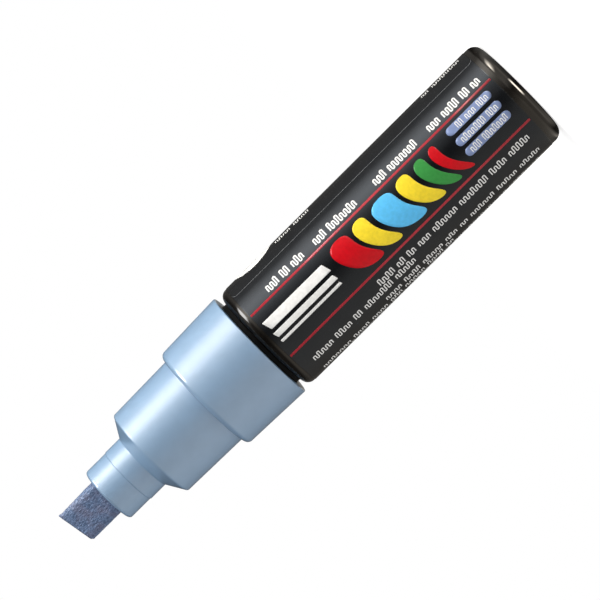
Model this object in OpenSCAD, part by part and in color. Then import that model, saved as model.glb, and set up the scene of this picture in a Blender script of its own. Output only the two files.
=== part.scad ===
// Valve-action paint marker with a broad chisel nib, uncapped, standing on its base.
// Millimetres. +Z runs along the axis from the base to the nib, and the origin is the base's centre.
// The nib's broad faces look along +Y and -Y, and the long corner of its edge is on the +X side.

/* [Barrel] */
// Outside diameter of the moulded barrel, under its label
barrel_d = 24.7; // [23:0.1:28]
// Height of the barrel from its base to the root of its neck
barrel_len = 70.2; // [60:0.1:90]
// Thickness of the barrel's side wall and of its neck
barrel_wall = 1.3; // [1:0.1:1.6]
// Thickness of the barrel's base
base_thick = 1.8; // [1.4:0.1:3]
// Radius of the edge round the base
base_edge_r = 2.2; // [1.5:0.1:4]
// Diameter of the shallow recess under the base
recess_d = 13; // [8:0.5:15]
// Depth of that recess
recess_depth = 0.5; // [0.2:0.1:0.8]
// How far the shoulder slopes down from the neck to the side wall
shoulder_drop = 0.2; // [0.1:0.05:1.5]
// Radius where the shoulder turns into the side wall
shoulder_r = 1.8; // [1:0.1:3]

/* [Neck] */
// How far the neck steps in from the barrel's side
neck_step = 2.05; // [1.2:0.05:2.5]
// Height of the snap bead round the neck
bead_height = 0.3; // [0.2:0.05:0.45]
// Width of the snap bead along the neck
bead_len = 1.4; // [1:0.1:2]
// Distance from the neck's rim down to the middle of the bead
bead_from_rim = 4.5; // [3:0.1:6]

/* [Label] */
// Thickness of the label's film
label_thick = 0.1; // [0.06:0.01:0.2]
// Bare margin between the label's rear end and the round edge of the base
rear_margin = 1; // [0.05:0.05:3]
// Bare margin between the label's front end and the round shoulder
front_margin = 0.1; // [0.05:0.05:2]

/* [Front section] */
// Open gap between the barrel's shoulder and the collar's rear rim
collar_gap = 0.95; // [0.3:0.05:2]
// Length of the collar
collar_len = 15.35; // [13:0.05:20]
// Wall of the collar at its rear rim
collar_wall = 2.34; // [1.4:0.01:2.6]
// How much the collar's radius falls from its rear rim to its front
collar_draft = 0.49; // [0.1:0.01:0.6]
// Radius of the collar's rear edge
collar_rear_edge_r = 0.3; // [0.3:0.1:1]
// Radius of the collar's front edge
collar_front_edge_r = 1.1; // [0.4:0.1:1.4]
// How far the middle section steps in from the collar's front
mid_step = 1.54; // [1:0.02:2.2]
// Length of the middle section
mid_len = 14.7; // [13:0.1:20]
// How much the middle section's radius falls along its length
mid_draft = 0.29; // [0.1:0.01:0.5]
// Radius of the middle section's front edge
mid_edge_r = 0.5; // [0.2:0.1:1]
// Length of the cone between the middle section and the nozzle
cone_len = 2.4; // [1.8:0.1:4]
// Length of the nozzle's base, from the cone to the seam
nozzle_len = 4; // [2.5:0.1:6]
// Wall of the nozzle's base round the holder's spigot
nozzle_wall = 1.13; // [0.9:0.01:1.6]
// Wall of the middle section
section_wall = 1.3; // [1:0.1:1.6]
// Thickness of the roofs over the collar and the middle section
roof_thick = 1.7; // [1.2:0.1:2.2]

/* [Nib holder] */
// Length of the holder that shows beyond the seam
holder_len = 5.6; // [4:0.1:8]
// Length of the spigot that plugs into the nozzle's base
spigot_len = 9; // [7:0.5:10]
// Thinnest wall of the spigot, at the corners of the nib's slot
spigot_wall = 0.85; // [0.7:0.05:1.2]
// How far the holder steps in from the nozzle's base at the seam
seam_step = 0.12; // [0.05:0.01:0.3]
// Bevel of the two rims that meet at the seam
seam_bevel = 0.12; // [0.05:0.01:0.25]
// Radius of the edge round the nozzle's mouth
mouth_edge_r = 0.6; // [0.2:0.1:0.9]

/* [Nib] */
// Width of the nib
nib_w = 8.2; // [6:0.1:9]
// Thickness of the nib where it is held
nib_t = 5; // [4:0.1:6]
// Radius of the nib's long edges
nib_corner_r = 1.6; // [0.8:0.1:1.9]
// Length of the nib that shows beyond the mouth, to its long corner
nib_out = 9.7; // [7:0.1:12]
// Straight length of the nib beyond the mouth, before the chisel faces start
nib_straight = 0.8; // [0.4:0.1:2]
// Thickness of the chisel edge
chisel_t = 1.4; // [0.8:0.1:2]
// Slant of the chisel edge across the nib, in degrees
chisel_slant = 10; // [0:0.1:25]

/* [Valve] */
// How far the nib and the stem can be pressed in
press_travel = 2.5; // [1.5:0.1:3]
// Room left under the stem's head when it is pressed right in
head_room = 4.3; // [1:0.1:5]
// Diameter of the stem's head, under the nib
head_d = 8; // [6:0.1:9]
// Thickness of the stem's head
head_thick = 1.5; // [1:0.1:2]
// Diameter of the stem in its guide
stem_d = 4; // [3.4:0.1:4.6]
// Diameter of the paint flutes along the stem
flute_d = 1.3; // [0.8:0.1:1.6]
// Number of those flutes
flute_count = 4; // [3:1:6]
// Diameter of the stem's plate that carries the seal
plate_d = 8.4; // [7.6:0.1:9.6]
// Thickness of that plate
plate_thick = 1.2; // [0.8:0.1:1.6]
// Diameter of the stem's tail, inside the spring
tail_d = 3.6; // [3:0.1:4]
// Thickness of the valve's flange, clamped over the neck
flange_thick = 1.4; // [1:0.1:1.8]
// Thickness of the gasket under the flange
gasket_thick = 0.8; // [0.5:0.1:1.2]
// Thickness of the seal on the stem
seal_thick = 1; // [0.6:0.1:1.4]
// Inside diameter of the spring chamber
chamber_d = 11.2; // [10.6:0.1:12]
// Wall of the spring chamber
chamber_wall = 1.2; // [0.8:0.1:1.4]
// Depth of the spring chamber below the flange
chamber_len = 16.9; // [15:0.1:20]
// Height of the lip that holds the retainer
lip_len = 0.8; // [0.5:0.1:1.2]
// How far that lip reaches in under the retainer
lip_reach = 0.5; // [0.3:0.1:0.6]
// Thickness of the spring's retainer
retainer_thick = 1.8; // [1.2:0.1:2.4]
// Diameter of the paint holes through the retainer
port_d = 1.4; // [0.8:0.1:1.5]
// Number of those holes
port_count = 6; // [4:1:8]
// Wire diameter of the valve's spring
spring_wire = 0.6; // [0.4:0.05:0.8]
// Mean diameter of the spring
spring_d = 6.4; // [5.6:0.1:6.8]
// Turns of the spring, with its two closed ends
spring_turns = 7; // [5:1:9]

/* [Mixing balls] */
// Diameter of each ball
ball_d = 6; // [4:0.5:7]
// Gap between the two balls where they rest
ball_gap = 6; // [5:0.5:8]

/* [Clearances] */
// Room between a ball and the floor under it
ball_clear = 0.1; // [0.05:0.05:0.3]
// Radial clearance of the stem in its two guides
run_clear = 0.05; // [0.02:0.01:0.1]
// Radial clearance of pushed and snapped fits
push_clear = 0.03; // [0.01:0.01:0.06]
// Clearance round the nib in its slot
nib_clear = 0.1; // [0.05:0.01:0.2]

/* [Hidden] */
$fn = 96;
arc_steps = 8;
coil_steps = 18;
wire_sides = 6;
cut_over = 1;
// Share of a wall that a fillet may take, where the wall's other end is sharp or has a fillet too
share_alone = 0.98;
share_paired = 0.49;
least_edge_r = 0.5;

slate = [0.53, 0.62, 0.72];
black = [0.08, 0.08, 0.09];
natural = [0.91, 0.90, 0.86];
rubber = [0.20, 0.20, 0.21];
steel = [0.72, 0.73, 0.75];

// Radii from the nib outwards and from the barrel inwards
slot_r = nib_corner_r + nib_clear;
slot_reach = norm([nib_w / 2 - nib_corner_r, nib_t / 2 - nib_corner_r]) + slot_r;
spigot_r = slot_reach + spigot_wall;
spigot_bore_r = spigot_r + push_clear;
nozzle_r = spigot_bore_r + nozzle_wall;
holder_r = nozzle_r - seam_step;
barrel_r = barrel_d / 2;
barrel_in_r = barrel_r - barrel_wall;
neck_r = barrel_r - neck_step;
neck_in_r = neck_r - barrel_wall;
skirt_r = neck_r + push_clear;
collar_rear_r = skirt_r + collar_wall;
collar_front_r = collar_rear_r - collar_draft;
mid_rear_r = collar_front_r - mid_step;
mid_front_r = mid_rear_r - mid_draft;
mid_in_r = mid_front_r - section_wall;
chamber_r = chamber_d / 2;
port_circle_r = (chamber_r - lip_reach + (spring_d + spring_wire) / 2) / 2;
ball_x = (ball_d + ball_gap) / 2;

// Heights, from the base to the nib's long corner
collar_z = barrel_len + collar_gap;
step_z = collar_z + collar_len;
mid_z = step_z + mid_len;
cone_z = mid_z + cone_len;
seam_z = cone_z + nozzle_len;
mouth_z = seam_z + holder_len;
tip_z = mouth_z + nib_out;
flange_z = step_z - roof_thick;
seat_z = flange_z - flange_thick;
rim_z = seat_z - gasket_thick;
bead_z = rim_z - bead_from_rim;
plate_z = seat_z - seal_thick - plate_thick;
head_z = flange_z + press_travel + head_room;
root_z = head_z + head_thick;
lip_z = seat_z - chamber_len;
retainer_z = lip_z + lip_len;
spring_z = retainer_z + retainer_thick;
label_z = base_edge_r + rear_margin;
label_top_z = barrel_len - shoulder_drop - shoulder_r - front_margin;

// Height of the cone's inner face at a radius
function cone_in_z(r) = mid_z - roof_thick + cone_len * (mid_front_r - r) / (mid_front_r - nozzle_r);

// A profile is a list of [radius, height, fillet].
// The fillet may be left out, and it is kept within its walls.
function flat(p) = [p[0], p[1]];
function unit(v) = v / norm(v);
function fillet_of(p) = len(p) > 2 ? p[2] : 0;
function room(p, q) = norm(flat(q) - flat(p)) * (fillet_of(q) > 0 ? share_paired : share_alone);
function turned(v) = atan2(v[1], v[0]);
function short_way(a) = a > 180 ? a - 360 : a < -180 ? a + 360 : a;

// Points of the arc that rounds corner p between its neighbours a and b
function arc(a, p, b) =
    let (u = unit(flat(a) - flat(p)), v = unit(flat(b) - flat(p)), half = acos(u * v) / 2)
    let (reach = min(p[2] / tan(half), room(p, a), room(p, b)), r = reach * tan(half))
    let (c = flat(p) + unit(u + v) * r / sin(half))
    let (from = turned(flat(p) + u * reach - c), by = short_way(turned(flat(p) + v * reach - c) - from))
    [for (i = [0:arc_steps]) c + r * [cos(from + by * i / arc_steps), sin(from + by * i / arc_steps)]];

function rounded(p) = [for (i = [0:len(p) - 1])
    each fillet_of(p[i]) > 0
        ? arc(p[(i + len(p) - 1) % len(p)], p[i], p[(i + 1) % len(p)])
        : [flat(p[i])]];

module turned_part(profile) {
    rotate_extrude() polygon(rounded(profile));
}

// The snap bead, or its groove when grow is above 0, on a wall of radius r
function bead(r, grow) = [
    [r, bead_z - bead_len / 2 - grow],
    [r + bead_height, bead_z - bead_len / 2 + bead_height - grow],
    [r + bead_height, bead_z + bead_len / 2 - bead_height + grow],
    [r, bead_z + bead_len / 2 + grow]];

// Rounded rectangle of the nib's section
module nib_outline(w, t, r) {
    square([w - 2 * r, t], center = true);
    square([w, t - 2 * r], center = true);
    for (x = [-1, 1], y = [-1, 1])
        translate([x * (w / 2 - r), y * (t / 2 - r)]) circle(r);
}

module barrel() {
    inner_edge_r = max(base_edge_r - barrel_wall, least_edge_r);
    color(black) turned_part(concat(
        [[0, recess_depth], [recess_d / 2 - recess_depth, recess_depth], [recess_d / 2, 0],
         [barrel_r, 0, base_edge_r], [barrel_r, barrel_len - shoulder_drop, shoulder_r],
         [neck_r, barrel_len]],
        bead(neck_r, 0),
        [[neck_r, rim_z], [neck_in_r, rim_z], [neck_in_r, barrel_len - barrel_wall],
         [barrel_in_r, barrel_len - shoulder_drop - barrel_wall],
         [barrel_in_r, base_thick, inner_edge_r], [0, base_thick]]));
}

module barrel_label() {
    in_r = barrel_r + push_clear;
    color(black) turned_part([
        [in_r, label_z], [in_r + label_thick, label_z],
        [in_r + label_thick, label_top_z], [in_r, label_top_z]]);
}

module front_section() {
    color(slate) turned_part(concat(
        [[collar_rear_r, collar_z, collar_rear_edge_r], [collar_front_r, step_z, collar_front_edge_r],
         [mid_rear_r, step_z], [mid_front_r, mid_z, mid_edge_r], [nozzle_r, cone_z],
         [nozzle_r, seam_z - seam_bevel], [nozzle_r - seam_bevel, seam_z],
         [spigot_bore_r, seam_z], [spigot_bore_r, cone_in_z(spigot_bore_r)], [mid_in_r, cone_in_z(mid_in_r)],
         [mid_in_r, flange_z], [skirt_r, flange_z]],
        [for (i = [3:-1:0]) bead(skirt_r, push_clear)[i]],
        [[skirt_r, collar_z]]));
}

module nib_holder() {
    color(slate) difference() {
        turned_part([
            [0, seam_z - spigot_len], [spigot_r, seam_z - spigot_len], [spigot_r, seam_z],
            [holder_r - seam_bevel, seam_z], [holder_r, seam_z + seam_bevel],
            [holder_r, mouth_z, mouth_edge_r], [0, mouth_z]]);
        translate([0, 0, seam_z - spigot_len - cut_over])
            linear_extrude(spigot_len + holder_len + 2 * cut_over)
                nib_outline(nib_w + 2 * nib_clear, nib_t + 2 * nib_clear, slot_r);
    }
}

module nib() {
    face_z = mouth_z + nib_straight;
    lean = atan((nib_t - chisel_t) / 2 / (tip_z - face_z));
    color([0.33, 0.38, 0.47]) difference() {
        translate([0, 0, root_z]) linear_extrude(tip_z - root_z) nib_outline(nib_w, nib_t, nib_corner_r);
        for (side = [0, 180])
            rotate([0, 0, side]) translate([0, nib_t / 2, face_z]) rotate([lean, 0, 0])
                translate([-nib_w, 0, 0]) cube([2 * nib_w, nib_t, 2 * nib_out]);
        translate([nib_w / 2, 0, tip_z]) rotate([0, -chisel_slant, 0])
            translate([-2 * nib_w, -nib_t, 0]) cube([4 * nib_w, 2 * nib_t, nib_out]);
    }
}

module neck_gasket() {
    color(rubber) turned_part([
        [neck_in_r, rim_z], [neck_r, rim_z], [neck_r, seat_z], [neck_in_r, seat_z]]);
}

module valve_body() {
    guide_r = stem_d / 2 + run_clear;
    color(natural) turned_part([
        [guide_r, flange_z], [guide_r, seat_z], [chamber_r, seat_z], [chamber_r, retainer_z],
        [chamber_r - lip_reach, retainer_z], [chamber_r - lip_reach, lip_z],
        [chamber_r + chamber_wall, lip_z], [chamber_r + chamber_wall, seat_z],
        [neck_r, seat_z], [neck_r, flange_z]]);
}

module valve_stem() {
    color(natural) difference() {
        turned_part([
            [0, retainer_z], [tail_d / 2, retainer_z], [tail_d / 2, plate_z], [plate_d / 2, plate_z],
            [plate_d / 2, plate_z + plate_thick], [stem_d / 2, plate_z + plate_thick],
            [stem_d / 2, head_z], [head_d / 2, head_z], [head_d / 2, root_z], [0, root_z]]);
        for (i = [0:flute_count - 1])
            rotate(360 * i / flute_count) translate([stem_d / 2, 0, seat_z])
                cylinder(d = flute_d, h = root_z - seat_z + cut_over);
    }
}

module valve_seal() {
    color(rubber) turned_part([
        [stem_d / 2 + push_clear, seat_z - seal_thick], [plate_d / 2, seat_z - seal_thick],
        [plate_d / 2, seat_z], [stem_d / 2 + push_clear, seat_z]]);
}

// Height of the wire's middle after t turns: the first and last turn lie closed, and the rest are even
function coil_z(t) =
    let (low = spring_z + spring_wire / 2, high = plate_z - spring_wire / 2)
    let (open = (high - low - 2 * spring_wire) / (spring_turns - 2))
    t < 1 ? low + spring_wire * t
        : t > spring_turns - 1 ? high - spring_wire * (spring_turns - t)
        : low + spring_wire + open * (t - 1);

module valve_spring() {
    rings = coil_steps * spring_turns;
    points = [for (i = [0:rings], k = [0:wire_sides - 1])
        let (turn = 360 * i / coil_steps, side = 360 * k / wire_sides)
        let (r = spring_d / 2 + spring_wire / 2 * cos(side))
        [r * cos(turn), r * sin(turn), coil_z(i / coil_steps) + spring_wire / 2 * sin(side)]];
    walls = [for (i = [0:rings - 1], k = [0:wire_sides - 1])
        let (a = i * wire_sides, b = a + wire_sides, next = (k + 1) % wire_sides)
        [a + k, a + next, b + next, b + k]];
    ends = [[for (k = [wire_sides - 1:-1:0]) k], [for (k = [0:wire_sides - 1]) rings * wire_sides + k]];
    color(steel) polyhedron(points, concat(walls, ends));
}

module spring_retainer() {
    color(natural) difference() {
        turned_part([
            [tail_d / 2 + run_clear, retainer_z], [chamber_r - push_clear, retainer_z],
            [chamber_r - push_clear, spring_z], [tail_d / 2 + run_clear, spring_z]]);
        for (i = [0:port_count - 1])
            rotate(360 * i / port_count) translate([port_circle_r, 0, retainer_z - cut_over])
                cylinder(d = port_d, h = retainer_thick + 2 * cut_over);
    }
}

module mixing_ball(x) {
    color(steel) translate([x, 0, base_thick + ball_clear + ball_d / 2]) sphere(d = ball_d);
}

module mixing_ball_a() { mixing_ball(-ball_x); }
module mixing_ball_b() { mixing_ball(ball_x); }

barrel();
barrel_label();
front_section();
nib_holder();
nib();
neck_gasket();
valve_body();
valve_stem();
valve_seal();
valve_spring();
spring_retainer();
mixing_ball_a();
mixing_ball_b();
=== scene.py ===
import bmesh
import bpy
import numpy as np
from mathutils import Matrix, Vector


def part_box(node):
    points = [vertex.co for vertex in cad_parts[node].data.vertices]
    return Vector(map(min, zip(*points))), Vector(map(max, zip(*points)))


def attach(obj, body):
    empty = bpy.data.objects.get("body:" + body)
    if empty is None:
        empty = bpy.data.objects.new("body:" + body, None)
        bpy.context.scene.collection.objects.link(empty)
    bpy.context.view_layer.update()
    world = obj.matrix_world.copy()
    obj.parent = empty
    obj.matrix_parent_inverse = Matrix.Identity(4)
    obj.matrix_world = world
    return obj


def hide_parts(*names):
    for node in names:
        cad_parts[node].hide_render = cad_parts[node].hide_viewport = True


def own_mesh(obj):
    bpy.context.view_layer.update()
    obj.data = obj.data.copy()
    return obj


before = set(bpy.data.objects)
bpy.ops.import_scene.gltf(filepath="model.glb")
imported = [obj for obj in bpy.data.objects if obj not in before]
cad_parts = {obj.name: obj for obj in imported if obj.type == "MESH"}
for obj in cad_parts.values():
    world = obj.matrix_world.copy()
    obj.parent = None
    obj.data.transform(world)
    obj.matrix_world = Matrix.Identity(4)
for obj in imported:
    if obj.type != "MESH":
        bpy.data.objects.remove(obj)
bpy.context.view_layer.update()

# Barrel: the paint bottle, one moulding with a recessed base, a round shoulder and a neck with a snap bead.
# It is glossy black plastic, bare at the base and the shoulder, with a gate mark left in the recess.
# The neck, from its root up, is a duller black with little shine, which keeps the gap under the collar dark.
mm = 0.001
barrel_high = np.array(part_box("barrel")[1]) / mm
barrel_r, rim_z = barrel_high[1], barrel_high[2]
neck_root_z, shoulder_drop, shoulder_r = 70.2, 0.2, 1.8
neck_step = 2.05
neck_r = barrel_r - neck_step
barrel_wall, base_thick, base_edge_r = 1.3, 1.8, 2.2
recess_r, recess_depth = 6.5, 0.5
gate_r, gate_slope, gate_height = 1.2, 0.3, 0.2
bead_from_rim, bead_half, bead_height = 4.5, 0.7, 0.3
bead_z = rim_z - bead_from_rim
soft_edge = 0.15
fillet_room, arc_least, arc_per_radian = 0.98, 4, 9
edge_guard, guard_share, straight_step = 0.06, 0.3, 2
weld_gap = 0.001


def rounded(corners, loop):
    """Points along an outline of (radius, height, fillet) corners. A fillet is an arc that touches the sides
    of its corner, within its share of them. Each straight run has even points and one close to each end."""
    flat = [np.array(corner[:2], float) for corner in corners]
    fillets = [corner[2] for corner in corners]
    bends = []
    for i, (here, fillet) in enumerate(zip(flat, fillets)):
        if fillet == 0:
            bends.append(here[None])
            continue
        after_i = (i + 1) % len(flat)
        before, after = flat[i - 1], flat[after_i]
        back = (before - here) / np.linalg.norm(before - here)
        ahead = (after - here) / np.linalg.norm(after - here)
        half = np.arccos(np.clip(back @ ahead, -1, 1)) / 2
        sides = (before, fillets[i - 1]), (after, fillets[after_i])
        room = min(np.linalg.norm(here - there) * fillet / (fillet + other) for there, other in sides)
        radius = min(fillet, fillet_room * room * np.tan(half))
        middle = here + (back + ahead) / np.linalg.norm(back + ahead) * radius / np.sin(half)
        start = here + back * radius / np.tan(half) - middle
        end = here + ahead * radius / np.tan(half) - middle
        sweep = np.arctan2(start[0] * end[1] - start[1] * end[0], start @ end)
        turn = np.linspace(0, sweep, arc_least + int(abs(sweep) * arc_per_radian))[:, None]
        bends.append(middle + start * np.cos(turn) + np.array([-start[1], start[0]]) * np.sin(turn))
    points = []
    for i, bend in enumerate(bends):
        points.append(bend)
        if i + 1 == len(bends) and not loop:
            break
        start, end = bend[-1], bends[(i + 1) % len(bends)][0]
        length = np.linalg.norm(end - start)
        guard = min(edge_guard / length, guard_share)
        between = np.linspace(guard, 1 - guard, 2 + int(length / straight_step))[1:-1]
        share = np.r_[guard, between, 1 - guard]
        points.append(start + (end - start) * share[:, None])
    return np.concatenate(points)


def skin(name, grid, ring=True, loop=False):
    """A mesh over a grid of points in mm, rows by columns: its columns join round where ring is set and its
    rows where loop is set, and a row whose points all meet becomes a pole."""
    ids = np.arange(grid.shape[0] * grid.shape[1]).reshape(grid.shape[:2])
    low, high = (ids, np.roll(ids, -1, 0)) if loop else (ids[:-1], ids[1:])
    next_low, next_high = (np.roll(row, -1, 1) if ring else row[:, 1:] for row in (low, high))
    width = next_low.shape[1]
    faces = np.stack([low[:, :width], next_low, next_high, high[:, :width]], -1).reshape(-1, 4)
    mesh = bpy.data.meshes.new(name)
    mesh.from_pydata(grid.reshape(-1, 3) * mm, [], faces)
    shell = bmesh.new()
    shell.from_mesh(mesh)
    bmesh.ops.remove_doubles(shell, verts=shell.verts, dist=weld_gap * mm)
    shell.to_mesh(mesh)
    shell.free()
    mesh.shade_smooth()
    piece = bpy.data.objects.new(name, mesh)
    bpy.context.scene.collection.objects.link(piece)
    return piece


def lathe(name, outline, sides=256, loop=False):
    """An outline of (radius, height) points turned about z: (radius cos a, radius sin a, height)."""
    angle = np.linspace(0, 2 * np.pi, sides, endpoint=False)
    radius, height = (column[:, None] for column in outline.T)
    grid = np.stack(np.broadcast_arrays(radius * np.cos(angle), radius * np.sin(angle), height), -1)
    return skin(name, grid, loop=loop)


def finish(name, **sockets):
    """A node material with a Principled surface, whose plain sockets are set as given."""
    material = bpy.data.materials.new(name)
    material.use_nodes = True
    surface = material.node_tree.nodes["Principled BSDF"]
    for socket, value in sockets.items():
        surface.inputs[socket.replace("_", " ")].default_value = value
    return material


def grain(material, cell, detail=3.0, stretch=(1, 1, 1)):
    """The factor of noise over Object coordinates, with cells about cell mm wide, drawn out by stretch."""
    nodes, links = material.node_tree.nodes, material.node_tree.links
    place, mapping, noise = (nodes.new(kind) for kind in (
        "ShaderNodeTexCoord", "ShaderNodeMapping", "ShaderNodeTexNoise"))
    mapping.inputs["Scale"].default_value = [1 / (cell * mm * longer) for longer in stretch]
    noise.inputs["Scale"].default_value = 1
    noise.inputs["Detail"].default_value = detail
    links.new(place.outputs["Object"], mapping.inputs["Vector"])
    links.new(mapping.outputs["Vector"], noise.inputs["Vector"])
    return noise.outputs["Fac"]


def colour(material, factor, dark, light, low=0.35, high=0.65):
    """Base colour from dark to light as the factor goes from low to high."""
    nodes, links = material.node_tree.nodes, material.node_tree.links
    ramp = nodes.new("ShaderNodeValToRGB")
    first, last = ramp.color_ramp.elements
    first.position, first.color = low, (*dark, 1)
    last.position, last.color = high, (*light, 1)
    links.new(factor, ramp.inputs["Fac"])
    links.new(ramp.outputs["Color"], nodes["Principled BSDF"].inputs["Base Color"])


def polish(material, factor, smooth, rough, low=0.3, high=0.7):
    """Roughness from smooth to rough as the factor goes from low to high."""
    nodes, links = material.node_tree.nodes, material.node_tree.links
    span = nodes.new("ShaderNodeMapRange")
    for socket, value in (("From Min", low), ("From Max", high), ("To Min", smooth), ("To Max", rough)):
        span.inputs[socket].default_value = value
    links.new(factor, span.inputs["Value"])
    links.new(span.outputs["Result"], nodes["Principled BSDF"].inputs["Roughness"])


def relief(material, factor, depth):
    """Surface relief, depth mm high where the factor is 1."""
    nodes, links = material.node_tree.nodes, material.node_tree.links
    bump = nodes.new("ShaderNodeBump")
    bump.inputs["Strength"].default_value = 1
    bump.inputs["Distance"].default_value = depth * mm
    links.new(factor, bump.inputs["Height"])
    links.new(bump.outputs["Normal"], nodes["Principled BSDF"].inputs["Normal"])


# The specular tint warms the barrel's reflections: a painted warm tint of the light on it.
gloss_black = finish("gloss_black", Specular_IOR_Level=0.68, Specular_Tint=(1.0, 0.96, 0.90, 1))
colour(gloss_black, grain(gloss_black, 4), (0.003, 0.0024, 0.002), (0.005, 0.004, 0.0032))
polish(gloss_black, grain(gloss_black, 1.5), 0.10, 0.16)
relief(gloss_black, grain(gloss_black, 1.2, 2), 0.002)
dull_black = finish("dull_black", Specular_IOR_Level=0.15)
colour(dull_black, grain(dull_black, 0.6), (0.003, 0.003, 0.003), (0.006, 0.006, 0.006))
polish(dull_black, grain(dull_black, 0.4), 0.55, 0.70)

gate_z = recess_depth - gate_height
shoulder_z = neck_root_z - shoulder_drop
inner_r, neck_inner_r = barrel_r - barrel_wall, neck_r - barrel_wall
bead_r = neck_r + bead_height
barrel = lathe("barrel_shell", rounded([
    (0, gate_z, 0), (gate_r, gate_z, soft_edge), (gate_r + gate_slope, recess_depth, soft_edge),
    (recess_r - recess_depth, recess_depth, soft_edge), (recess_r, 0, soft_edge),
    (barrel_r, 0, base_edge_r), (barrel_r, shoulder_z, shoulder_r), (neck_r, neck_root_z, soft_edge),
    (neck_r, bead_z - bead_half, 0), (bead_r, bead_z - bead_half + bead_height, soft_edge),
    (bead_r, bead_z + bead_half - bead_height, soft_edge), (neck_r, bead_z + bead_half, 0),
    (neck_r, rim_z, soft_edge), (neck_inner_r, rim_z, soft_edge),
    (neck_inner_r, neck_root_z - barrel_wall, soft_edge), (inner_r, shoulder_z - barrel_wall, soft_edge),
    (inner_r, base_thick, base_edge_r - barrel_wall), (0, base_thick, 0)], loop=False))
barrel.data.materials.append(gloss_black)
barrel.data.materials.append(dull_black)
dull_from_z = neck_root_z - 0.02
middles = np.zeros(3 * len(barrel.data.polygons))
barrel.data.polygons.foreach_get("center", middles)
dull = middles[2::3] > dull_from_z * mm
barrel.data.polygons.foreach_set("material_index", dull.astype(int))
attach(barrel, "barrel")
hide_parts("barrel")

# Mixing balls: two loose steel balls on the floor of the barrel, which stir the paint in a shaken marker.
# Each is a ground and tumbled bearing ball, bright with fine marks in all directions.
tumbled_steel = finish("tumbled_steel", Metallic=1.0)
colour(tumbled_steel, grain(tumbled_steel, 0.8, 5), (0.50, 0.50, 0.51), (0.62, 0.62, 0.63))
polish(tumbled_steel, grain(tumbled_steel, 0.2, 6), 0.14, 0.30)
relief(tumbled_steel, grain(tumbled_steel, 0.1, 4), 0.001)


def dress(node, material):
    """Gives a part that keeps its CAD shape its material."""
    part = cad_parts[node]
    part.data.materials.clear()
    part.data.materials.append(material)


for ball in ("mixing_ball_a", "mixing_ball_b"):
    dress(ball, tumbled_steel)

# Valve: a flanged cup in the neck, the stem that the nib presses, and a pierced disc that closes the cup.
# All three are unpigmented plastic, milky and a little waxy, with faint flow marks along the axis.
milky_plastic = finish("milky_plastic", Subsurface_Weight=0.2, Subsurface_Radius=(0.002, 0.002, 0.0016))
colour(milky_plastic, grain(milky_plastic, 1.6, 4, (1, 1, 4)), (0.70, 0.68, 0.60), (0.80, 0.79, 0.73))
polish(milky_plastic, grain(milky_plastic, 0.6, 3), 0.34, 0.5)
relief(milky_plastic, grain(milky_plastic, 0.3, 3, (1, 1, 5)), 0.004)
for part in ("valve_body", "valve_stem", "spring_retainer"):
    dress(part, milky_plastic)

# Seals: the washer on the stem that closes the valve, and the gasket clamped between neck and flange.
# Both are soft black rubber, dull from talc, with a fine moulded grain.
talced_rubber = finish("talced_rubber", Specular_IOR_Level=0.35)
colour(talced_rubber, grain(talced_rubber, 0.5, 6), (0.018, 0.018, 0.019), (0.055, 0.055, 0.054))
polish(talced_rubber, grain(talced_rubber, 0.3, 4), 0.6, 0.85)
relief(talced_rubber, grain(talced_rubber, 0.12, 4), 0.01)
for seal in ("valve_seal", "neck_gasket"):
    dress(seal, talced_rubber)

# Valve spring: a coil of drawn steel wire between the disc and the stem's plate, with a closed turn at each
# end. It is built at the CAD part's height, though it shortens in use as the stem goes down, and its wire
# has fine marks along it from the drawing die.
spring_low, spring_high = (np.array(corner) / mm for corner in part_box("valve_spring"))
wire_d, spring_turns, turn_steps, wire_sides = 0.6, 7, 64, 14
wire_r = wire_d / 2
coil_r = spring_high[0] - wire_r


def coil(turn):
    """Height of the wire's middle after some turns: each end turn rises by one wire, and the rest evenly."""
    low, high = spring_low[2] + wire_r, spring_high[2] - wire_r
    heights = [low, low + wire_d, high - wire_d, high]
    return np.interp(turn, [0, 1, spring_turns - 1, spring_turns], heights)


turn = np.linspace(0, spring_turns, spring_turns * turn_steps + 1)[:, None]
side = np.linspace(0, 2 * np.pi, wire_sides, endpoint=False)[None]
reach = coil_r + wire_r * np.cos(side)
wire = np.stack([reach * np.cos(2 * np.pi * turn), reach * np.sin(2 * np.pi * turn),
                 coil(turn) + wire_r * np.sin(side)], -1)
ends = wire[[0, -1]].mean(1, keepdims=True).repeat(wire_sides, 1)
wire = np.concatenate([ends[:1], wire, ends[1:]])[:, ::-1]

drawn_steel = finish("drawn_steel", Metallic=1.0)
colour(drawn_steel, grain(drawn_steel, 0.4, 4), (0.48, 0.48, 0.49), (0.60, 0.60, 0.61))
polish(drawn_steel, grain(drawn_steel, 0.1, 5), 0.2, 0.34)
spring = skin("spring_wire", wire)
spring.data.materials.append(drawn_steel)
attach(spring, "barrel")
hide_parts("valve_spring")
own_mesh(spring)

# Front section: one slate-blue moulding that snaps over the neck, with a drafted collar, a stepped-in middle
# for the cap, a steep cone and the base of the nozzle. The plastic holds pearl flakes and has a satin shine.
front_low, front_high = (np.array(corner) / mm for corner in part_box("front_section"))
collar_len, mid_len, cone_len = 15.35, 14.7, 2.4
collar_wall, collar_draft, mid_step, mid_draft = 2.34, 0.49, 1.54, 0.29
section_wall, roof_thick, fit_clear = 1.3, 1.7, 0.03
collar_rear_edge_r, collar_front_edge_r, step_root_r, mid_edge_r = 0.3, 1.1, 0.12, 0.5
cone_foot_r, seam_edge_r, skirt_edge_r = 0.25, 0.05, 0.2
nozzle_r, spigot_bore_r, seam_bevel = 6.367, 5.237, 0.075
collar_z, seam_z = front_low[2], front_high[2]
step_z = collar_z + collar_len
mid_z = step_z + mid_len
cone_z = mid_z + cone_len
skirt_r = neck_r + fit_clear
collar_rear_r = skirt_r + collar_wall
collar_front_r = collar_rear_r - collar_draft
mid_rear_r = collar_front_r - mid_step
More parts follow.
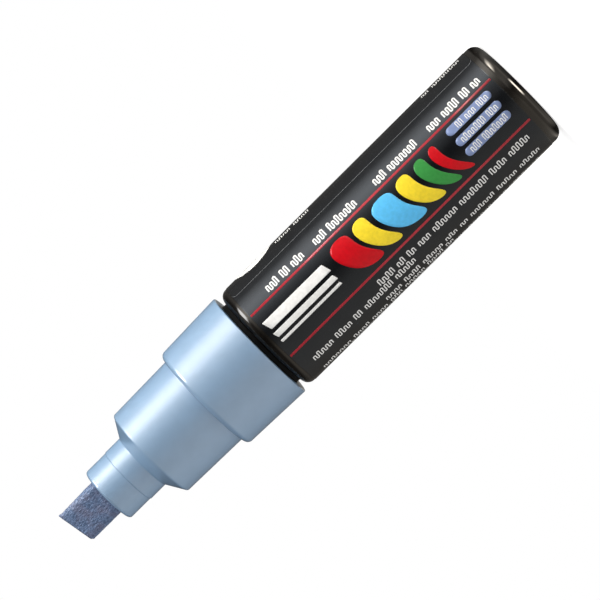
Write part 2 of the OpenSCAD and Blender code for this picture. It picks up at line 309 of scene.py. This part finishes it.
mid_front_r = mid_rear_r - mid_draft
mid_in_r, flange_z = mid_front_r - section_wall, step_z - roof_thick
groove_half, groove_r = bead_half + fit_clear, skirt_r + bead_height


def cone_inside(radius):
    """Height of the cone's inner face at a radius, the same slope as its outer face."""
    return mid_z - roof_thick + cone_len * (mid_front_r - radius) / (mid_front_r - nozzle_r)


# The specular tint warms the shine: a painted tint that keeps the highlights from turning blue.
slate_pearl = finish("slate_pearl", IOR=1.9, Specular_Tint=(1.0, 0.90, 0.76, 1),
                     Coat_Weight=1.0, Coat_IOR=1.87, Coat_Roughness=0.17)
colour(slate_pearl, grain(slate_pearl, 3.0, 2), (0.200, 0.342, 0.530), (0.210, 0.358, 0.555))
polish(slate_pearl, grain(slate_pearl, 2.5, 3), 0.46, 0.54)
relief(slate_pearl, grain(slate_pearl, 0.7, 2), 0.0012)

front = lathe("front_moulding", rounded([
    (collar_rear_r, collar_z, collar_rear_edge_r), (collar_front_r, step_z, collar_front_edge_r),
    (mid_rear_r, step_z, step_root_r), (mid_front_r, mid_z, mid_edge_r), (nozzle_r, cone_z, cone_foot_r),
    (nozzle_r, seam_z - seam_bevel, seam_edge_r), (nozzle_r - seam_bevel, seam_z, seam_edge_r),
    (spigot_bore_r, seam_z, 0), (spigot_bore_r, cone_inside(spigot_bore_r), soft_edge),
    (mid_in_r, cone_inside(mid_in_r), soft_edge), (mid_in_r, flange_z, soft_edge),
    (skirt_r, flange_z, soft_edge), (skirt_r, bead_z + groove_half, 0),
    (groove_r, bead_z + groove_half - bead_height, 0), (groove_r, bead_z - groove_half + bead_height, 0),
    (skirt_r, bead_z - groove_half, 0), (skirt_r, collar_z, skirt_edge_r)], loop=True), loop=True)
front.data.materials.append(slate_pearl)
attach(front, "barrel")
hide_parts("front_section")

# Nib holder: the tip of the nozzle, the same slate moulding, whose spigot is pushed into the nozzle's base.
# A fine step and two bevels mark the seam, and a slot with round corners runs right through for the nib.
holder_low, holder_high = (np.array(corner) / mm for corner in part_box("nib_holder"))
nib_low, nib_high = (np.array(corner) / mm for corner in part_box("nib"))
nib_w, nib_t = nib_high[:2] - nib_low[:2]
nib_corner_r, nib_clear = 1.6, 0.1
spigot_z, mouth_z, holder_r = holder_low[2], holder_high[2], holder_high[0]
spigot_r = spigot_bore_r - fit_clear
spigot_edge_r, mouth_edge_r, slot_edge_r = 0.3, 0.6, 0.2
holder_sides, lip_rows, slot_edge_rows, slot_rows = 288, 7, 6, 40


def slot_reach(angle, width, thickness, corner_r):
    """Distance from the middle to a rounded rectangle: to a flat side where the ray at that angle meets one,
    or else to the arc of the corner."""
    x, y = np.maximum(np.abs([np.cos(angle), np.sin(angle)]), 1e-9)
    in_x, in_y = width / 2 - corner_r, thickness / 2 - corner_r
    to_side, to_face, along = width / 2 / x, thickness / 2 / y, x * in_x + y * in_y
    to_arc = along + np.sqrt(np.maximum(along ** 2 - in_x ** 2 - in_y ** 2 + corner_r ** 2, 0))
    return np.where(to_side * y <= in_y, to_side, np.where(to_face * x <= in_x, to_face, to_arc))


outside = rounded([
    (spigot_r, spigot_z, spigot_edge_r), (spigot_r, seam_z, 0), (holder_r - seam_bevel, seam_z, seam_edge_r),
    (holder_r, seam_z + seam_bevel, seam_edge_r), (holder_r, mouth_z, mouth_edge_r), (0, mouth_z, 0)],
    loop=False)
outside = outside[outside[:, 0] > spigot_r - spigot_edge_r - 0.01]
edge = np.linspace(0, np.pi / 2, slot_edge_rows + 1)[1:]
slot_out = np.r_[slot_edge_r * (1 - np.sin(edge)), np.zeros(slot_rows)]
slot_z = np.r_[mouth_z - slot_edge_r * (1 - np.cos(edge)),
               np.linspace(mouth_z - slot_edge_r, spigot_z, slot_rows + 1)[1:]]
angle = np.linspace(0, 2 * np.pi, holder_sides, endpoint=False)
slot = slot_reach(angle, nib_w + 2 * nib_clear, nib_t + 2 * nib_clear, nib_corner_r + nib_clear)
inward = np.linspace(0, 1, lip_rows + 1)[1:, None]
lip = outside[-1, 0] + (slot + slot_edge_r - outside[-1, 0]) * inward
radius = np.concatenate([outside[:, :1] + 0 * slot, lip, slot + slot_out[:, None]])
height = np.r_[outside[:, 1], np.full(lip_rows, mouth_z), slot_z][:, None]
grid = np.stack(np.broadcast_arrays(radius * np.cos(angle), radius * np.sin(angle), height), -1)
holder = skin("nib_nozzle", grid, loop=True)
holder.data.materials.append(slate_pearl)
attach(holder, "barrel")
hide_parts("nib_holder")

# Nib: a block of pressed felt soaked with slate paint, held in the slot by friction and cut to a slanted
# chisel. Its long edges are round, its broad faces lean in to the edge, and loose fibres roughen every face.
# Use has drawn the long corner out a little and rubbed the short one down.
root_z, tip_z = nib_low[2], nib_high[2]
face_z, chisel_half, slant = mouth_z + 0.8, 0.7, np.tan(np.radians(10))
tip_edge_r, cap_lift = 0.25, 0.6
fibre_depth, fibre_waves, fibre_pitch, fibre_spread = 0.03, 40, (9, 9, 3.5), 7
fibres_from_z, fibres_rise = mouth_z - 0.6, 0.8
worn_from_z, worn_side = mouth_z + 1, 0.26
drawn_corner, drawn_len, rubbed_corner, rubbed_w = 0.30, 1.5, 0.2, 0.6
ring_count, side_rows, cap_rows, row_crowding = 300, 190, 26, 1.6


def fibres(points, seed):
    """Felt relief, mostly from -1 to 1: waves that are short across the nib and long along it, summed."""
    draw = np.random.default_rng(seed)
    waves = draw.normal(size=(fibre_waves, 3)) * fibre_pitch
    starts = draw.uniform(0, 2 * np.pi, fibre_waves)
    return np.sin(points @ waves.T + starts).sum(-1) / fibre_spread


def blotches(material, factor, tone, share, low=0.42, high=0.66):
    """Turns the base colour towards a tone as the factor goes from low to high, by share at most."""
    nodes, links = material.node_tree.nodes, material.node_tree.links
    base = nodes["Principled BSDF"].inputs["Base Color"]
    span, mix = nodes.new("ShaderNodeMapRange"), nodes.new("ShaderNodeMixRGB")
    for socket, value in (("From Min", low), ("From Max", high), ("To Max", share)):
        span.inputs[socket].default_value = value
    mix.inputs["Color2"].default_value = (*tone, 1)
    links.new(base.links[0].from_socket, mix.inputs["Color1"])
    links.new(factor, span.inputs["Value"])
    links.new(span.outputs["Result"], mix.inputs["Fac"])
    links.new(mix.outputs["Color"], base)


half_w, half_t = nib_w / 2, nib_t / 2
angle = np.linspace(0, 2 * np.pi, ring_count, endpoint=False)
section = slot_reach(angle, nib_w, nib_t, nib_corner_r) * [np.cos(angle), np.sin(angle)]
up_side = 1 - (1 - np.linspace(0, 1, side_rows)) ** row_crowding
over_cap = np.linspace(0, np.pi / 2, cap_rows + 1)[1:]
rise = np.r_[up_side, np.ones(cap_rows)][:, None]
shrink = np.r_[np.ones(side_rows), 1 - np.sin(over_cap)][:, None]
x, y = shrink * section[0], shrink * section[1]
rubbed = np.clip(1 - (x + half_w) / rubbed_w, 0, 1) ** 2
top = tip_z - (half_w - x) * slant - rubbed_corner * rubbed
z = root_z + (top - root_z) * rise
blunt = np.clip(1 - (top - z) / tip_edge_r, 0, 1)
inset = tip_edge_r * (1 - np.sqrt(1 - blunt ** 2)) * (shrink == 1)
face_half = half_t - np.clip((z - face_z) / (tip_z - face_z), 0, 1) * (half_t - chisel_half)
to_long_side = np.clip(x / half_w, 0, 1)
out = np.clip((z - worn_from_z) / (tip_z - worn_from_z), 0, 1)
lean_in = worn_side * out ** 1.5 * to_long_side ** 2
flick = drawn_corner * np.clip(1 - (tip_z - z) / drawn_len, 0, 1) ** 2 * to_long_side ** 4
y = y * face_half / half_t
grid = np.stack([x * (1 - inset / half_w) - lean_in + flick, y * (1 - inset / chisel_half), z], -1)
up_on_cap = np.where(shrink < 1, cap_lift, 0) + 0 * x
outward = np.stack([x / half_w ** 2, y / face_half ** 2, up_on_cap], -1)
outward /= np.linalg.norm(outward, axis=-1, keepdims=True) + 1e-9
shown = np.clip((z - fibres_from_z) / fibres_rise, 0, 1)[..., None]
grid += outward * (fibres(grid, 5)[..., None] - 1) * fibre_depth * shown
bottom = np.stack([0 * x[:1], 0 * x[:1], np.full_like(x[:1], root_z)], -1)

felt = finish("paint_soaked_felt", Sheen_Weight=0.12, Sheen_Roughness=0.5, Specular_IOR_Level=0.5)
colour(felt, grain(felt, 0.34, 5, (1, 1, 1.5)), (0.050, 0.090, 0.180), (0.145, 0.215, 0.375), 0.36, 0.66)
blotches(felt, grain(felt, 2.2, 2), (0.135, 0.130, 0.205), 0.5)
polish(felt, grain(felt, 0.3, 4), 0.30, 0.60)
relief(felt, grain(felt, 0.22, 4, (1, 1, 1.6)), 0.055)
nib = skin("felt_nib", np.concatenate([bottom, grid]))
nib.data.materials.append(felt)
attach(nib, "nib")
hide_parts("nib")

# Label: a strip of glossy black film wound once round the barrel, with its end glued over its start.
# The end has round corners, and the pale core of the film shows as a hairline along its cut edge.
label_low, label_high = (np.array(corner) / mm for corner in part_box("barrel_label"))
label_z, label_top_z = label_low[2], label_high[2]
film, film_gap, hairline = 0.05, 0.004, 0.10
single_r = label_high[1] - film - film_gap
flap_angle, overlap, ramp, flap_corner_r = 52.2, 18.0, 3.0, 1.2
label_rows, label_columns, end_crowding = 80, 480, 0.9


def film_radius(angle):
    """Radius of the film's face at an angle in degrees from -Y towards +X: one film up where the end
    overlaps the start, with a short smooth slope down beyond it."""
    past = np.clip(((angle - flap_angle) % 360 - overlap) / ramp, 0, 1)
    return single_r + (film + film_gap) * (1 - past * past * (3 - 2 * past))


def on_label(angle, height, lift=0.0):
    """Points at a height on the label's face, lifted by so much from it."""
    around, radius = np.radians(angle), film_radius(angle) + lift
    return np.stack(np.broadcast_arrays(radius * np.sin(around), -radius * np.cos(around), height), -1)


share = np.linspace(0, 1, label_rows)
share = share - np.sin(2 * np.pi * share) / (2 * np.pi) * end_crowding
height = label_z + (label_top_z - label_z) * share
from_end = np.minimum(height - label_z, label_top_z - height)
cut = flap_corner_r - np.sqrt(flap_corner_r ** 2 - np.clip(flap_corner_r - from_end, 0, None) ** 2)
start = flap_angle + np.degrees(cut / single_r)[:, None]
way_round = np.r_[0, np.linspace(hairline / (2 * np.pi * single_r), 1, label_columns)]
wound = start + (flap_angle + 360 + overlap - start) * way_round
under = wound > flap_angle + 360
grid = on_label(np.where(under, flap_angle - 1e-6, wound), height[:, None])
under_ring = single_r * np.stack([np.sin(np.radians(wound)), -np.cos(np.radians(wound))], -1)
grid[..., :2] = np.where(under[..., None], under_ring, grid[..., :2])

# The specular tint turns the film's reflections blue: a painted cool tint of the light on it.
black_film = finish("black_film", Specular_IOR_Level=0.62, Specular_Tint=(0.80, 0.88, 1.0, 1))
colour(black_film, grain(black_film, 3), (0.0028, 0.0032, 0.0040), (0.0048, 0.0052, 0.0060))
polish(black_film, grain(black_film, 2.0, 4), 0.12, 0.19)
relief(black_film, grain(black_film, 1.4, 2), 0.003)
film_core = finish("film_core")
colour(film_core, grain(film_core, 0.4), (0.10, 0.105, 0.115), (0.16, 0.165, 0.175))
polish(film_core, grain(film_core, 0.3), 0.45, 0.6)
label = skin("label_film", grid, ring=False)
label.data.materials.append(black_film)
label.data.materials.append(film_core)
at_cut_edge = np.arange(len(label.data.polygons)) % label_columns == 0
label.data.polygons.foreach_set("material_index", at_cut_edge.astype(int))
thickness = label.modifiers.new("film", "SOLIDIFY")
thickness.thickness, thickness.offset, thickness.material_offset_rim = film * mm, -1, 1
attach(label, "barrel")
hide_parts("barrel_label")

# Print: gloss inks on the label, a hair above the film. Two red rules run from end to end, with bars, pills
# and broad swashes between them, and lines of blank writing, a pen line that runs up and down, beside them.
ink_lift, ink_thick = 0.008, 0.010
label_mid_r = label_high[1] - film
fine_steps, plain_steps, swash_rows, swash_columns = 9, 3, 9, 41
fewest_strokes, most_strokes, stroke_points, mean_width = 2, 8, 3, 5
tall_share, short_height, word_room, word_gap = 0.35, 0.74, 4, 2.3
draw = np.random.default_rng(11)


def patches(arc, height, half_len, half_width, corner_r=0.0, lean=0.0, steps=5):
    """Patches on the label, one for each row of the arrays, in mm: arc is the way round from -Y, half_len
    lies along the axis and half_width across it. Each end has arcs for corners, and lean slides the far side
    along."""
    sizes = (np.atleast_1d(size) for size in (arc, height, half_len, half_width, corner_r, lean))
    arc, height, half_len, half_width, corner_r, lean = (
        size[:, None, None].astype(float) for size in np.broadcast_arrays(*sizes))
    across = half_width * np.sin(np.linspace(-np.pi / 2, np.pi / 2, steps))[None, None, :]
    rounding = np.clip(np.abs(across) - half_width + corner_r, 0, corner_r)
    length = half_len - corner_r + np.sqrt(corner_r ** 2 - rounding ** 2)
    along = np.linspace(-1, 1, plain_steps if steps < fine_steps else steps)[None, :, None]
    return np.degrees((arc + across) / label_mid_r), height + along * length + lean * across


def swash(height, half_len, arc=-0.35, half_width=4.3, lean=0.42, bow=1.6):
    """A broad curved stroke across the label: its middle line leans and bows, and its length along the axis
    closes to round ends by a root of the sixth power of the place across."""
    across = np.sin(np.linspace(-np.pi / 2, np.pi / 2, swash_columns))[None]
    along = np.linspace(-1, 1, swash_rows)[:, None]
    length = half_len * np.sqrt(1 - across ** 6)
    middle = height + half_width * lean * across + bow * (1 - across ** 2)
    return np.degrees((arc + half_width * across) / label_mid_r)[None], (middle + along * length)[None]


def writing(arc, low, high, size, spacing=0.36, weight=0.15):
    """Blank writing from height low to high, in groups like words: the corners of a square wave with drawn
    heights, set out evenly by length, rounded by a running mean and widened to both sides by its normals."""
    words, place, pitch, pen = [], low, spacing * size, weight * size
    while place + word_room * pitch < high:
        strokes = 2 * min(draw.integers(fewest_strokes, most_strokes), int((high - place) / pitch / 2))
        tops = np.where(draw.random(strokes // 2) < tall_share, 1.0, short_height) * size
        across = np.stack([0 * tops, tops, tops, 0 * tops], -1).ravel() - size / 2
        along = place + np.repeat(np.arange(strokes), 2) * pitch
        length = np.r_[0, np.cumsum(np.hypot(np.diff(along), np.diff(across)))]
        even = np.linspace(0, length[-1], int(length[-1] / pen * stroke_points))
        corners = (np.pad(np.interp(even, length, way), mean_width // 2, "edge") for way in (along, across))
        line = np.stack([np.convolve(way, np.ones(mean_width) / mean_width, "valid") for way in corners], -1)
        step = np.gradient(line, axis=0)
        normal = np.stack([-step[:, 1], step[:, 0]], -1) / np.linalg.norm(step, axis=1, keepdims=True)
        sides = line[:, None] + normal[:, None] * np.array([0.5, -0.5])[:, None] * pen
        words.append((np.degrees((arc + sides[None, ..., 1]) / label_mid_r), sides[None, ..., 0]))
        place = along[-1] + word_gap * pitch
    return words


def ink(name, shade):
    """A gloss ink of one shade, a little uneven as it was rolled on."""
    material = finish(name, Specular_IOR_Level=0.3)
    thin, thick = [0.93 * tone for tone in shade], [min(1.04 * tone, 1) for tone in shade]
    colour(material, grain(material, 0.7, 4), thin, thick)
    polish(material, grain(material, 1.2), 0.16, 0.24)
    relief(material, grain(material, 0.8, 2), 0.002)
    return material


def printed(name, shade, groups):
    """One ink's patches as one piece: sheets on the label's face, each given the ink's thickness."""
    points, faces, count = [], [], 0
    for angle, height in groups:
        angle, height = np.broadcast_arrays(angle, height)
        ids = count + np.arange(angle.size).reshape(angle.shape)
        corners = [ids[:, :-1, :-1], ids[:, :-1, 1:], ids[:, 1:, 1:], ids[:, 1:, :-1]]
        faces.append(np.stack(corners, -1).reshape(-1, 4))
        points.append(on_label(angle, height, ink_lift).reshape(-1, 3))
        count += angle.size
    mesh = bpy.data.meshes.new(name)
    mesh.from_pydata(np.concatenate(points) * mm, [], np.concatenate(faces))
    mesh.shade_smooth()
    mesh.materials.append(ink(name + "_ink", shade))
    piece = bpy.data.objects.new(name, mesh)
    bpy.context.scene.collection.objects.link(piece)
    body = piece.modifiers.new("ink", "SOLIDIFY")
    body.thickness, body.offset = ink_thick * mm, -1
    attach(piece, "barrel")


rule_arcs, rule_half, rule_edge_r, rule_margin = [5.2, -5.94], 0.25, 0.05, 0.2
rule_mid_z = (label_z + label_top_z) / 2
rule_half_len = rule_mid_z - label_z - rule_margin
pill_arcs, pill_z, pill_half_len, pill_half, pill_edge_r = [3.31, 0.575, -2.05], 11.0, 5.75, 0.91, 0.9
printed("print_crimson", (0.45, 0.030, 0.045), [
    patches(rule_arcs, rule_mid_z, rule_half_len, rule_half, rule_edge_r)])
printed("print_red", (0.62, 0.003, 0.010), [swash(44.2, 2.6), swash(19.0, 1.1)])
printed("print_yellow", (0.96, 0.73, 0.035), [swash(38.8, 1.9), swash(27.1, 1.9)])
printed("print_green", (0.045, 0.30, 0.062), [swash(22.6, 1.5)])
printed("print_blue", (0.115, 0.55, 0.95), [swash(32.8, 2.9)])
printed("print_slate", (0.23, 0.30, 0.52), [
    patches(pill_arcs, pill_z, pill_half_len, pill_half, pill_edge_r, steps=13)])
bold_arc, bold_size, pill_size, small_size = 7.05, 1.85, 1.25, 1.5
pill_row = (pill_z - 4.7, pill_z + 4.9)
bold_rows = [(5.2, 19.8), (22.2, 36.2), (38.4, 50.6), (52.6, 64.6)]
small_rows = [(-8.4, 6, 49), (-10.4, 38, 66), (-13.4, 6, 50), (-15.6, 30, 66), (-18.0, 6, 60),
              (-20.4, 6, 66), (-22.8, 6, 44), (16.2, 5, 16.4), (16.2, 46, 55.5), (27, 6, 64), (29.2, 6, 64),
              (31.4, 6, 58), (33.6, 6, 64), (35.8, 6, 40)]
bar_arcs, bar_halves = [1.55, -0.9, -2.5], [1.05, 0.6, 0.28]
bar_z, bar_half_len, bar_edge_r, bar_lean = 59.0, 8.0, 0.12, 0.3
disc_arc, disc_z, disc_r = 19.7, 60.7, 4.95
printed("print_white", (0.90, 0.90, 0.89), [
    *(word for row in bold_rows for word in writing(bold_arc, *row, bold_size, spacing=0.29, weight=0.175)),
    *(word for arc in pill_arcs for word in writing(arc, *pill_row, pill_size)),
    *(word for row in small_rows for word in writing(*row, small_size)),
    patches(bar_arcs, bar_z, bar_half_len, bar_halves, bar_edge_r, bar_lean, steps=9),
    patches(disc_arc, disc_z, disc_r, disc_r, disc_r - 0.01, steps=25)])

# Studio: a white floor under the marker, a light tent that only reflections see, and a soft lamp each side.
# The tent has a bright panel on the marker's right, a warm grey one on its left and a dark gap in front.
floor_z, floor_rings, floor_sides, floor_glow = -0.05, [4000, 1000, 100, 0], 64, 0.62
tent_r, tent_top_z, tent_foot_z, tent_floor_z, tent_sides = 450, 700, -0.03, -0.02, 96
wall_back_level, floor_back_level = 0.14, 1.0
warm_card, soft_card = (1.05, 0.97, 0.86), (1.0, 0.95, 0.86)
pale_card, cool_card = (1.0, 0.97, 0.92), (0.98, 1.0, 1.04)
card_rows, card_columns = 13, 41
marker_middle, ambient = Vector((0, 0, 0.06)), 0.56


def background_rays(nodes, links):
    """1 for a ray that shows the background, straight, in a reflection or through something clear, and 0 for
    one that only carries light: the largest of three outputs of Light Path."""
    path = nodes.new("ShaderNodeLightPath")
    seen = path.outputs["Is Camera Ray"]
    for ray in ("Is Glossy Ray", "Is Transmission Ray"):
        either = nodes.new("ShaderNodeMath")
        either.operation = "MAXIMUM"
        links.new(seen, either.inputs[0])
        links.new(path.outputs[ray], either.inputs[1])
        seen = either.outputs["Value"]
    return seen


def emitter(name, build, *values):
    """A material whose surface is made by build from its nodes and links, and from the values given."""
    material = bpy.data.materials.new(name)
    material.use_nodes = True
    nodes = material.node_tree.nodes
    nodes.remove(nodes["Principled BSDF"])
    build(nodes, material.node_tree.links, nodes["Material Output"].inputs["Surface"], *values)
    return material


def white_floor(nodes, links, surface):
    """Pale paint that takes the shadow, with a share of plain white added where the background is seen."""
    paint, glow, add, share = (nodes.new(kind) for kind in (
        "ShaderNodeBsdfDiffuse", "ShaderNodeEmission", "ShaderNodeAddShader", "ShaderNodeMath"))
    paint.inputs["Color"].default_value = (0.8, 0.8, 0.8, 1)
    share.operation = "MULTIPLY"
    share.inputs[1].default_value = floor_glow
    links.new(background_rays(nodes, links), share.inputs[0])
    links.new(share.outputs["Value"], glow.inputs["Strength"])
    links.new(paint.outputs["BSDF"], add.inputs[0])
    links.new(glow.outputs["Emission"], add.inputs[1])
    links.new(add.outputs["Shader"], surface)


def tent_panels(nodes, links, surface, back):
    """Light by the way round from -Y towards +X, a ramp over the angle of the point, with a back strip as
    bright as given. A ramp over the height dims it high up, and a smooth step over the distance fades it out
    on the floor towards the marker."""
    place, parts, turn, span, ramp, dim, reach, fade, glow = (nodes.new(kind) for kind in (
        "ShaderNodeTexCoord", "ShaderNodeSeparateXYZ", "ShaderNodeMath", "ShaderNodeMapRange",
        "ShaderNodeValToRGB", "ShaderNodeValToRGB", "ShaderNodeVectorMath", "ShaderNodeMapRange",
        "ShaderNodeEmission"))
    flip, high_share, strength = (nodes.new("ShaderNodeMath") for product in range(3))
    for product in (flip, high_share, strength):
        product.operation = "MULTIPLY"
    brightest, highest = 4.0, 500
    flip.inputs[1].default_value, high_share.inputs[1].default_value = -1, 1 / (highest * mm)
    turn.operation, reach.operation, fade.interpolation_type = "ARCTAN2", "LENGTH", "SMOOTHSTEP"
    span.inputs["From Min"].default_value, span.inputs["From Max"].default_value = -np.pi, np.pi
    for socket, value in (("From Min", 0.018), ("From Max", 0.052), ("To Min", 0.25), ("To Max", brightest)):
        fade.inputs[socket].default_value = value
    cool, warm = np.array([1.0, 0.97, 0.92]), np.array([1.06, 0.99, 0.88])
    panels = [(-180, back, warm), (-166, 0.75 * back, warm), (-156, 0.14, warm), (-140, 0.14, warm),
              (-121, 0.28, warm), (-97, 0.49, warm), (-77, 0.55, warm), (-52, 0.59, warm), (-29, 0.51, warm),
              (-14, 0.26, warm), (0, 0.10, cool), (14, 0.13, cool), (27, 0.47, cool), (40, 0.95, cool),
              (54, 2.9, cool), (64, 3.3, cool), (74, 2.6, cool), (93, 0.5, cool), (121, 0.26, cool),
              (140, 0.14, cool), (156, 0.12, cool), (166, 0.75 * back, cool), (180, back, warm)]
    levels = [(0, 0.86), (80, 0.90), (110, 0.94), (135, 0.95), (165, 0.80), (300, 0.15)]
    around = [((degrees + 180) / 360, level / brightest * tone) for degrees, level, tone in panels]
    upwards = [(height / highest, level * np.ones(3)) for height, level in levels]
    for node, lights in ((ramp, around), (dim, upwards)):
        stops = node.color_ramp.elements
        while len(stops) < len(lights):
            stops.new(0.5)
        for stop, (position, light) in zip(stops, lights):
            stop.position, stop.color = position, (*light, 1)
    links.new(place.outputs["Object"], parts.inputs["Vector"])
    links.new(parts.outputs["Y"], flip.inputs[0])
    links.new(parts.outputs["X"], turn.inputs[0])
    links.new(flip.outputs["Value"], turn.inputs[1])
    links.new(turn.outputs["Value"], span.inputs["Value"])
    links.new(span.outputs["Result"], ramp.inputs["Fac"])
    links.new(ramp.outputs["Color"], glow.inputs["Color"])
    links.new(parts.outputs["Z"], high_share.inputs[0])
    links.new(high_share.outputs["Value"], dim.inputs["Fac"])
    links.new(place.outputs["Object"], reach.inputs[0])
    links.new(reach.outputs["Value"], fade.inputs["Value"])
    links.new(dim.outputs["Color"], strength.inputs[0])
    links.new(fade.outputs["Result"], strength.inputs[1])
    links.new(strength.outputs["Value"], glow.inputs["Strength"])
    links.new(glow.outputs["Emission"], surface)


def eased(nodes, links, surface, level, tone):
    """Even light of one level and tone, and clear where the glow values of the sheet fall."""
    value, glow, clear, mix = (nodes.new(kind) for kind in (
        "ShaderNodeAttribute", "ShaderNodeEmission", "ShaderNodeBsdfTransparent", "ShaderNodeMixShader"))
    value.attribute_name = "glow"
    glow.inputs["Color"].default_value = (*tone, 1)
    glow.inputs["Strength"].default_value = level
    links.new(value.outputs["Fac"], mix.inputs["Fac"])
    links.new(clear.outputs["BSDF"], mix.inputs[1])
    links.new(glow.outputs["Emission"], mix.inputs[2])
    links.new(mix.outputs["Shader"], surface)


def card(name, degrees, reach, heights, level, soft, tone):
    """A card that only reflections see: a sector between two angles from -Y towards +X, from the first reach
    and height to the second. It eases off to clear at its edges, over a soft share of each half."""
    across, along = np.linspace(-1, 1, card_columns), np.linspace(-1, 1, card_rows)[:, None]
    around = np.radians(np.mean(degrees) + (degrees[1] - degrees[0]) / 2 * across)
    reach = np.mean(reach) + (reach[1] - reach[0]) / 2 * along
    height = np.mean(heights) + (heights[1] - heights[0]) / 2 * along + 0 * around
    sheet = skin(name, np.stack([reach * np.sin(around), -reach * np.cos(around), height], -1), ring=False)
    inside = np.minimum((1 - np.abs(across)) / soft[0], 1) * np.minimum((1 - np.abs(along)) / soft[1], 1)
    sheet.data.attributes.new("glow", "FLOAT", "POINT").data.foreach_set("value", inside.ravel())
    sheet.data.materials.append(emitter(name + "_light", eased, level, tone))
    return sheet


floor = lathe("floor", np.array([(ring, floor_z) for ring in floor_rings], float), floor_sides)
floor.data.flip_normals()
floor.data.materials.append(emitter("white_floor", white_floor))
tent_outline = np.array([(tent_r, tent_foot_z), (tent_r, tent_top_z), (0, tent_top_z)], float)
tent_floor_outline = np.array([(tent_r - 1, tent_floor_z), (0, tent_floor_z)], float)
tent = lathe("light_tent", tent_outline, tent_sides)
tent_floor = lathe("tent_floor", tent_floor_outline, tent_sides)
tent.data.materials.append(emitter("tent_wall_panels", tent_panels, wall_back_level))
tent_floor.data.materials.append(emitter("tent_floor_panels", tent_panels, floor_back_level))
cards = [card("dull_card", (-128, 6), (13, 60), (-0.01, -0.01), 0.62, (0.35, 0.08), warm_card),
         card("foot_card", (-68, 6), (10.8, 15.5), (0.0, 0.0), 0.44, (0.45, 0.3), warm_card),
         card("fill_card", (4, 68), (10.6, 40), (0.0, 0.0), 0.8, (0.4, 0.2), pale_card),
         card("rim_glint", (-60, 54), (11.8, 13.0), (0.01, 0.01), 1.0, (0.4, 0.9), soft_card),
         card("front_glint", (-9.5, 14.5), (11.9, 12.7), (0.02, 0.02), 22, (0.5, 0.6), soft_card),
         card("side_glint", (33, 54), (12.6, 19.6), (0.03, 0.03), 21, (0.9, 0.9), soft_card),
         card("spark_card", (49, 87), (440, 440), (178, 480), 12, (0.5, 0.15), cool_card)]
for hidden in (tent, tent_floor, *cards):
    for seen in ("camera", "diffuse", "transmission", "volume_scatter", "shadow"):
        setattr(hidden, "visible_" + seen, False)


def lamp(name, place, size, power, tone):
    """A soft rectangular lamp that faces the marker's middle. It lights, and the tent is what reflects."""
    light = bpy.data.lights.new(name, "AREA")
    light.shape, light.energy, light.color = "RECTANGLE", power, tone
    light.size, light.size_y = size
    lamp_object = bpy.data.objects.new(name, light)
    lamp_object.location = place
    lamp_object.rotation_euler = (marker_middle - Vector(place)).to_track_quat("-Z", "Y").to_euler()
    lamp_object.visible_glossy = False
    bpy.context.scene.collection.objects.link(lamp_object)


lamp("key_lamp", (0.577, -0.165, 0.10), (0.25, 0.5), 6.3, (1.0, 0.965, 0.90))
lamp("fill_lamp", (-0.59, -0.104, 0.12), (0.5, 0.5), 1.2, (1.0, 0.96, 0.90))

world = bpy.data.worlds.new("white_room")
bpy.context.scene.world = world
world.use_nodes = True
room, links = world.node_tree.nodes, world.node_tree.links
level = room.new("ShaderNodeMapRange")
level.inputs["To Min"].default_value = ambient
links.new(background_rays(room, links), level.inputs["Value"])
room["Background"].inputs["Color"].default_value = (1, 1, 1, 1)
links.new(level.outputs["Result"], room["Background"].inputs["Strength"])
bpy.context.scene.view_settings.view_transform = "Standard"

# Camera: level with the middle of the barrel on the -Y side, rolled so that the marker lies from the upper
# right, where its base is, to the lower left. A long lens keeps the barrel's sides nearly parallel.
eye, aim = Vector((0.00068, -0.617, 0.034)), Vector((0.00068, 0, 0.05944))
lens, sensor, roll = 189.75, 36, np.radians(44.81)
forward = (aim - eye).normalized()
upright = (Vector((0, 0, 1)) - forward * forward.z).normalized()
sideways = forward.cross(upright)
right = -upright * np.cos(roll) - sideways * np.sin(roll)
up = sideways * np.cos(roll) - upright * np.sin(roll)
camera = bpy.data.objects.new("camera", bpy.data.cameras.new("camera"))
camera.data.lens, camera.data.sensor_width = lens, sensor
camera.matrix_world = Matrix.Translation(eye) @ Matrix((right, up, -forward)).transposed().to_4x4()
bpy.context.scene.collection.objects.link(camera)
bpy.context.scene.camera = camera
